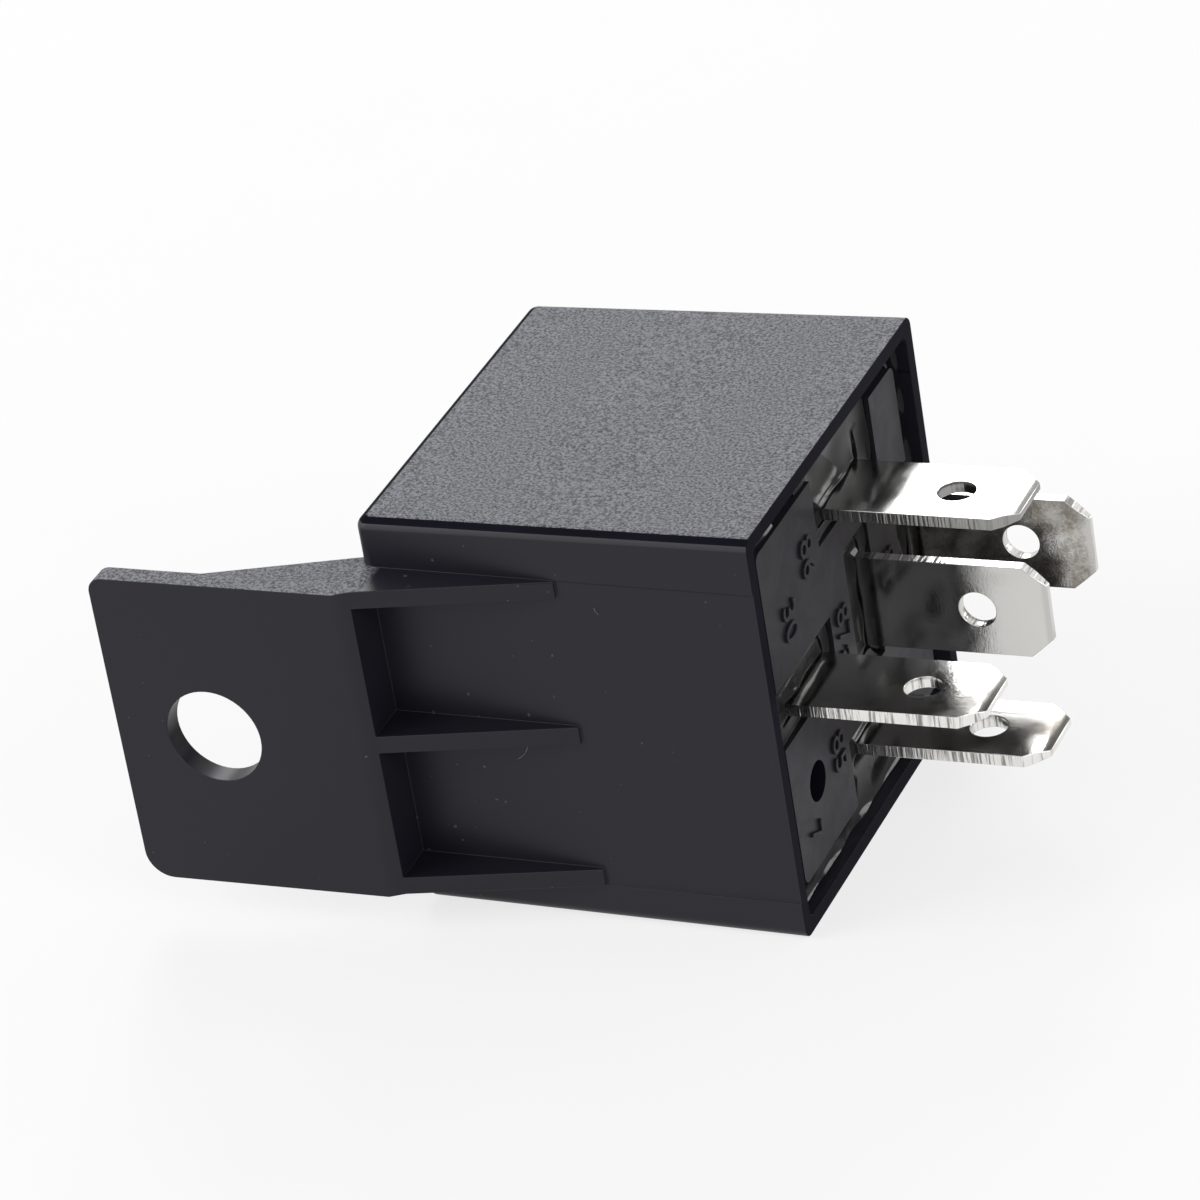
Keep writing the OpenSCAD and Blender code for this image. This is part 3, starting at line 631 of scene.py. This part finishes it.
def drilled(mesh, y, z, radius):
    """Copy of a closed mesh with a round hole through it along X."""
    place = (Matrix.Translation((RESIN_LOW.x, y, z))
             @ Matrix.Rotation(math.pi / 2, 4, "Y"))
    bm = bmesh.new()
    bmesh.ops.create_cone(bm, cap_ends=True, segments=64, radius1=radius, radius2=radius,
                          depth=12 * MM, matrix=place)
    drill = bpy.data.meshes.new("drill")
    bm.to_mesh(drill)
    bm.free()
    holder, cutter = linked("undrilled", mesh), linked("drill", drill)
    hole = holder.modifiers.new("Hole", "BOOLEAN")
    hole.operation = "DIFFERENCE"
    hole.object = cutter
    depsgraph = bpy.context.evaluated_depsgraph_get()
    result = bpy.data.meshes.new_from_object(holder.evaluated_get(depsgraph))
    for helper in (holder, cutter):
        bpy.data.objects.remove(helper)
    result.name = mesh.name
    return result


def raised_text(name, text, place, size, relief, mat):
    """Raised figures on the base's face that read downwards, with their tops towards +Y."""
    curve = bpy.data.curves.new(name, "FONT")
    curve.body = text
    curve.size = size
    curve.align_x = "CENTER"
    curve.align_y = "CENTER"
    curve.extrude = relief / 2
    curve.offset = -0.02 * MM
    curve.bevel_depth = 0.03 * MM
    curve.bevel_resolution = 1
    curve.resolution_u = 6
    curve.space_character = 1.05
    holder = linked(name + "_curve", curve)
    depsgraph = bpy.context.evaluated_depsgraph_get()
    mesh = bpy.data.meshes.new_from_object(holder.evaluated_get(depsgraph))
    bpy.data.objects.remove(holder)
    # Columns: where the text's own right, up and outward directions point
    turn = Matrix(((0, 0, 1), (0, 1, 0), (-1, 0, 0))).to_4x4()
    mesh.transform(Matrix.Translation(place) @ turn)
    mesh.materials.clear()
    mesh.name = name
    return linked(name, mesh, mat)


def tube_mesh(name, path, radius, sides=8):
    """Tube along a path of points: circles set square to the path, pinched almost shut at
    both ends.
    """
    along = np.gradient(path, axis=0)
    along /= np.linalg.norm(along, axis=1, keepdims=True)
    side = np.cross(along, np.array([0.31, 0.52, 0.8]))
    side /= np.linalg.norm(side, axis=1, keepdims=True)
    other = np.cross(along, side)
    turn = np.linspace(0, 2 * np.pi, sides, endpoint=False)[:, None, None]
    taper = np.ones(len(path))
    taper[[0, -1]] = 0.02
    rings = path[None] + radius * taper[None, :, None] * (
        np.cos(turn) * side[None] + np.sin(turn) * other[None])
    return grid_mesh(name, rings, closed_rows=True)


# ---- Operators ----------------------------------------------------------------------------

class RELAY_OT_case(bpy.types.Operator):
    """Moulded case with its tab, ribs and webs, with soft edges"""
    bl_idname = "relay.case"
    bl_label = "Case"

    def execute(self, context):
        settings = context.scene.relay_case
        shell = softened("case_shell", "case", settings.edge, case_plastic(settings),
                         painted_shade_plastic("Rim plastic, painted shade", settings))
        self.mark_painted_shade(shell.data)
        add_piece(shell, "case_plastic", "case")
        return {"FINISHED"}

    def mark_painted_shade(self, mesh):
        """Give the end face of the walls and the bend of the upper edges the darker plastic
        of painted shade.
        """
        for face in mesh.polygons:
            rim = face.normal.x > 0.7 and face.center.x > CASE_HIGH.x - 0.1 * MM
            bend = (0.62 < face.normal.z < 0.97 and face.center.z > CASE_HIGH.z - 0.9 * MM
                    and face.center.x > CLOSED_END)
            if rim or bend:
                face.material_index = 1


class RELAY_OT_base(bpy.types.Operator):
    """Base with raised terminal numbers"""
    bl_idname = "relay.base"
    bl_label = "Base and numbers"

    def execute(self, context):
        settings = context.scene.relay_case
        mat = base_plastic(settings)
        body = softened("base_moulding", "base", 0.06 * MM, mat,
                        painted_shade_plastic("Vent plastic, painted shade", settings))
        # The vent's walls get the darker plastic as painted shade
        for face in body.data.polygons:
            from_vent = math.hypot(face.center.y - VENT_Y, face.center.z - VENT_Z)
            if from_vent < VENT_RADIUS + 0.1 * MM and abs(face.normal.x) < 0.5:
                face.material_index = 1
        add_piece(body, "base_plastic", "base")
        relief = 0.16 * MM
        face = BASE_HIGH.x + relief / 2
        # Piece, figures, middle in y and z, and size
        labels = [
            ("number_30", "30", BLADE_30_Y - 1.6 * MM, MIDDLE_Z + 5.3 * MM, FIGURE_SIZE),
            ("number_86", "86", COIL_Y - 7.0 * MM, UPPER_Z - 0.8 * MM, FIGURE_SIZE),
            ("number_87a", "87a", BLADE_87A_Y - 4.3 * MM, MIDDLE_Z, FIGURE_SIZE),
            ("number_85", "85", COIL_Y - 6.6 * MM, LOWER_Z + 1.9 * MM, FIGURE_SIZE),
            ("number_87", "87", BLADE_87A_Y + 3.9 * MM, MIDDLE_Z, FIGURE_SIZE),
            ("cavity_number", "7", BLADE_30_Y - 2.4 * MM, MIDDLE_Z - 9.25 * MM,
             FIGURE_SIZE - 0.3 * MM),
        ]
        for name, text, y, z, size in labels:
            figure = raised_text(name, text, Vector((face, y, z)), size, relief, mat)
            add_piece(figure, "base_plastic")
        return {"FINISHED"}


class RELAY_OT_resin(bpy.types.Operator):
    """Resin in the edge channel and pockets, climbing at walls and blades"""
    bl_idname = "relay.resin"
    bl_label = "Resin"

    def execute(self, context):
        settings = context.scene.relay_resin
        mat = resin_finish(settings)
        slot_floor = RESIN_LOW.x - 0.75 * MM
        # Two slots beside the upper wall: their start and end from the front
        slots = [(6.2 * MM, 9.8 * MM), (22.1 * MM, 26.2 * MM)]
        slot_low, slot_high = RESIN_HIGH.z - 1.4 * MM, RESIN_HIGH.z - 0.5 * MM
        margin = 0.2 * MM

        def pool(y, z):
            """Resin round the middle blade."""
            return resin_height(y, z, settings)

        def channel(y, z):
            """Resin everywhere but in the middle pocket and in the two edge slots."""
            x = resin_height(y, z, settings)
            cuts = [((POOL_LOW.y - margin, POOL_LOW.z - margin),
                     (POOL_HIGH.y + margin, POOL_HIGH.z + margin))]
            cuts += [((FRONT_Y + start, slot_low), (FRONT_Y + end, slot_high))
                     for start, end in slots]
            for low, high in cuts:
                x[box_distance(y, z, low, high) < 0] = slot_floor
            return x

        edge = resin_sheet("resin_edge", RESIN_LOW.yz, RESIN_HIGH.yz, (242, 234), channel)
        edge = drilled(edge, VENT_Y, VENT_Z, VENT_RADIUS + 0.15 * MM)
        middle_pocket = resin_sheet("resin_pool", POOL_LOW.yz, POOL_HIGH.yz, (50, 110), pool)
        add_piece(linked("resin_edge", edge, mat), "resin", "sealing_resin")
        add_piece(linked("resin_pool", middle_pocket, mat), "resin", "sealing_resin_87a")
        return {"FINISHED"}


class RELAY_OT_terminals(bpy.types.Operator):
    """Tin-plated blades with rolled and sheared sides"""
    bl_idname = "relay.terminals"
    bl_label = "Terminals"

    def execute(self, context):
        settings = context.scene.relay_blades
        # Flat blades: slopes painted darker as shade, thin sides painted lighter as light;
        # upper blade: slopes and thin sides painted darker as shade
        flat = tin_plate("Tin plate, flat blades, painted light and shade", settings, Z, slope_shade=0.5, side=1.3)
        upper = tin_plate("Tin plate, upper blade, painted shade", settings, Z, slope_shade=0.5, side=0.5)
        upright = tin_plate("Tin plate, upright blades", settings, Y)
        stained = tin_plate("Tin plate, stained blade", settings, Y, stain=0.8)
        for node, mat in (("terminal_30", flat), ("terminal_85", flat),
                          ("terminal_86", upper), ("terminal_87", stained),
                          ("terminal_87a", upright)):
            blade = softened(node.replace("terminal", "blade"), node, settings.edge, mat)
            add_piece(blade, "tinned_brass", node)
        return {"FINISHED"}


class RELAY_OT_magnet(bpy.types.Operator):
    """Yoke, core, bobbin and winding"""
    bl_idname = "relay.magnet"
    bl_label = "Magnet"

    def execute(self, context):
        zinc = metal("Zinc-plated iron", (0.52, 0.52, 0.54), 0.34)
        wire = enamelled_wire()
        for node in ("yoke", "core", "armature"):
            finish_node(node, zinc)
        for node in ("coil_winding", "coil_lead_start", "coil_lead_finish"):
            finish_node(node, wire)
        finish_node("bobbin", bobbin_nylon())
        return {"FINISHED"}


class RELAY_OT_contacts(bpy.types.Operator):
    """Contact leaf, rivets, contacts, return spring and braid"""
    bl_idname = "relay.contacts"
    bl_label = "Contacts and spring"

    def execute(self, context):
        silver = metal("Contact silver", (0.83, 0.81, 0.77), 0.26, 3400.0, 0.004)
        steel = metal("Drawn spring steel", (0.56, 0.56, 0.57), 0.28)
        finishes = {
            "contact_leaf": metal("Leaf bronze", (0.64, 0.4, 0.2), 0.28, 2400.0, 0.004,
                                  (1.0, 0.1, 1.0)),
            "leaf_rivet_lower": steel, "leaf_rivet_upper": steel, "return_spring": steel,
            "moving_contact": silver, "open_contact": silver, "closed_contact": silver,
            "braid": woven_copper(),
        }
        for node, mat in finishes.items():
            finish_node(node, mat)
        return {"FINISHED"}


class RELAY_OT_lint(bpy.types.Operator):
    """Two short fibres close to the front of the case"""
    bl_idname = "relay.lint"
    bl_label = "Lint"

    def execute(self, context):
        fin = Finish("Lint", (0.32, 0.31, 0.3), 0.7)
        mat = fin.wear(fin.mix(fin.noise(4000.0), (0.22, 0.21, 0.2), (0.4, 0.39, 0.37)))
        radius = 0.01 * MM
        # Behind the rim's front, but still 0.1 to 0.2 mm clear of the drafted face
        front = FRONT_Y + 0.13 * MM
        # Middle of each fibre from the closed end and the floor, its length, and its lean
        fibres = [((15.4, 22.5), 0.5, -1.05), ((8.75, 12.1), 1.6, 1.0)]
        for number, ((x, z), reach, lean) in enumerate(fibres, 1):
            t = np.linspace(-0.5, 0.5, 14)
            bend = -0.15 * reach * (1 - 4 * t**2) * (1 + 0.5 * t)
            path = np.stack([
                CLOSED_END + (x + reach * t * np.cos(lean) - bend * np.sin(lean)) * MM,
                np.full_like(t, front),
                (z + reach * t * np.sin(lean) + bend * np.cos(lean)) * MM], axis=1)
            name = f"lint_fibre_{number}"
            fibre = linked(name, tube_mesh(name, path, radius, 6), mat)
            add_piece(fibre, "case_plastic")
        return {"FINISHED"}


class RELAY_OT_stage(bpy.types.Operator):
    """Pale floor, white surroundings, soft lamps and the camera"""
    bl_idname = "relay.stage"
    bl_label = "Stage"

    def execute(self, context):
        scene = context.scene
        settings = scene.relay_stage
        scene.view_settings.view_transform = "Standard"
        self.surroundings(scene)
        self.floor()
        self.lamps()
        self.camera(scene, settings)
        return {"FINISHED"}

    def surroundings(self, scene):
        """World: white to the camera and in reflections, a softer grey as light."""
        world = bpy.data.worlds.new("Surroundings")
        world.use_nodes = True
        tree = world.node_tree
        background = tree.nodes["Background"]
        level = tree.nodes.new("ShaderNodeMapRange")
        level.inputs["To Min"].default_value = 0.55
        level.inputs["To Max"].default_value = 1.0
        tree.links.new(seen_rays(tree), level.inputs["Value"])
        tree.links.new(level.outputs["Result"], background.inputs["Strength"])
        background.inputs["Color"].default_value = (1.0, 1.0, 1.0, 1.0)
        scene.world = world

    def floor(self):
        """Flat pale floor under the case, whiter to the camera and in reflections."""
        half = 1.5
        white_share = 0.75
        z = CAD_BOX[0][Z]
        mesh = bpy.data.meshes.new("Floor")
        mesh.from_pydata([(-half, -half, z), (half, -half, z), (half, half, z),
                          (-half, half, z)], [], [(0, 1, 2, 3)])
        fin = Finish("Pale floor", (0.86, 0.86, 0.86), 0.8)
        paper = fin.noise(60.0, 3.0, 0.6)
        fin.wear(fin.mix(paper, (0.84, 0.84, 0.84), (0.88, 0.88, 0.88)))
        glow = fin.node("Emission")
        glow.inputs["Strength"].default_value = 1.0
        mixer = fin.node("MixShader")
        fin.link(fin.times(seen_rays(fin.tree), white_share), mixer.inputs[0])
        fin.link(fin.shader.outputs[0], mixer.inputs[1])
        fin.link(glow.outputs[0], mixer.inputs[2])
        fin.link(mixer.outputs[0], fin.tree.nodes["Material Output"].inputs["Surface"])
        linked("Floor", mesh, fin.mat)

    def lamps(self):
        """Soft lamps: behind and above, low behind, from the left and from the right."""
        aim = Vector((0.0, 0.0, MIDDLE_Z))
        # Name, place in metres, side in metres and power in watts
        lamps = [("Back softbox", (-0.32, 0.70, 0.50), 0.34, 2.7),
                 ("Low softbox", (0.55, 0.72, 0.16), 0.2, 0.9),
                 ("Left softbox", (-0.7, -0.45, 0.5), 0.5, 4.0),
                 ("Right softbox", (0.75, -0.35, 0.45), 0.4, 1.8)]
        for name, place, size, power in lamps:
            data = bpy.data.lights.new(name, "AREA")
            data.shape = "SQUARE"
            data.size = size
            data.energy = power
            lamp = linked(name, data)
            lamp.location = place
            lamp.rotation_euler = (aim - Vector(place)).to_track_quat("-Z", "Y").to_euler()

    def camera(self, scene, settings):
        """Camera on a sphere round its target, turned by its roll."""
        target = Vector((-1.98, 2.26, 14.0)) * MM
        azimuth, elevation, roll = settings.azimuth, settings.elevation, settings.roll
        level = math.cos(elevation)
        back = Vector((math.sin(azimuth) * level, -math.cos(azimuth) * level,
                       math.sin(elevation)))
        right = Vector((math.cos(azimuth), math.sin(azimuth), 0.0))
        up = back.cross(right)
        x_axis = right * math.cos(roll) + up * math.sin(roll)
        y_axis = back.cross(x_axis)
        data = bpy.data.cameras.new("Camera")
        data.lens = settings.lens
        data.sensor_width = 36.0
        data.clip_start = 0.01
        data.clip_end = 20.0
        camera = linked("Camera", data)
        turn = Matrix((x_axis, y_axis, back)).transposed().to_4x4()
        camera.matrix_world = Matrix.Translation(target + back * settings.distance) @ turn
        scene.camera = camera


class RELAY_PT_looks(bpy.types.Panel):
    """Sidebar panel with the settings and one button for each piece"""
    bl_idname = "RELAY_PT_looks"
    bl_label = "Relay"
    bl_space_type = "VIEW_3D"
    bl_region_type = "UI"
    bl_category = "Relay"

    def draw(self, context):
        layout = self.layout
        for group in ("relay_case", "relay_blades", "relay_resin", "relay_stage"):
            settings = getattr(context.scene, group)
            box = layout.box()
            for prop in settings.__annotations__:
                box.prop(settings, prop)
        for operator in OPERATORS:
            layout.operator(operator.bl_idname)


SETTINGS = {"relay_case": RelayCaseSettings, "relay_blades": RelayBladeSettings,
            "relay_resin": RelayResinSettings, "relay_stage": RelayStageSettings}
OPERATORS = (RELAY_OT_case, RELAY_OT_base, RELAY_OT_resin, RELAY_OT_terminals,
             RELAY_OT_magnet, RELAY_OT_contacts, RELAY_OT_lint, RELAY_OT_stage)


def register():
    """Register the classes and hang the settings on the scene."""
    for cls in (*SETTINGS.values(), *OPERATORS, RELAY_PT_looks):
        bpy.utils.register_class(cls)
    for name, cls in SETTINGS.items():
        setattr(bpy.types.Scene, name, PointerProperty(type=cls))


def unregister():
    """Take the settings and the classes away again."""
    for name in SETTINGS:
        delattr(bpy.types.Scene, name)
    for cls in reversed((*SETTINGS.values(), *OPERATORS, RELAY_PT_looks)):
        bpy.utils.unregister_class(cls)


def main():
    """Build every piece in order."""
    register()
    for operator in OPERATORS:
        family, name = operator.bl_idname.split(".")
        getattr(getattr(bpy.ops, family), name)()


if __name__ == "__main__":
    main()
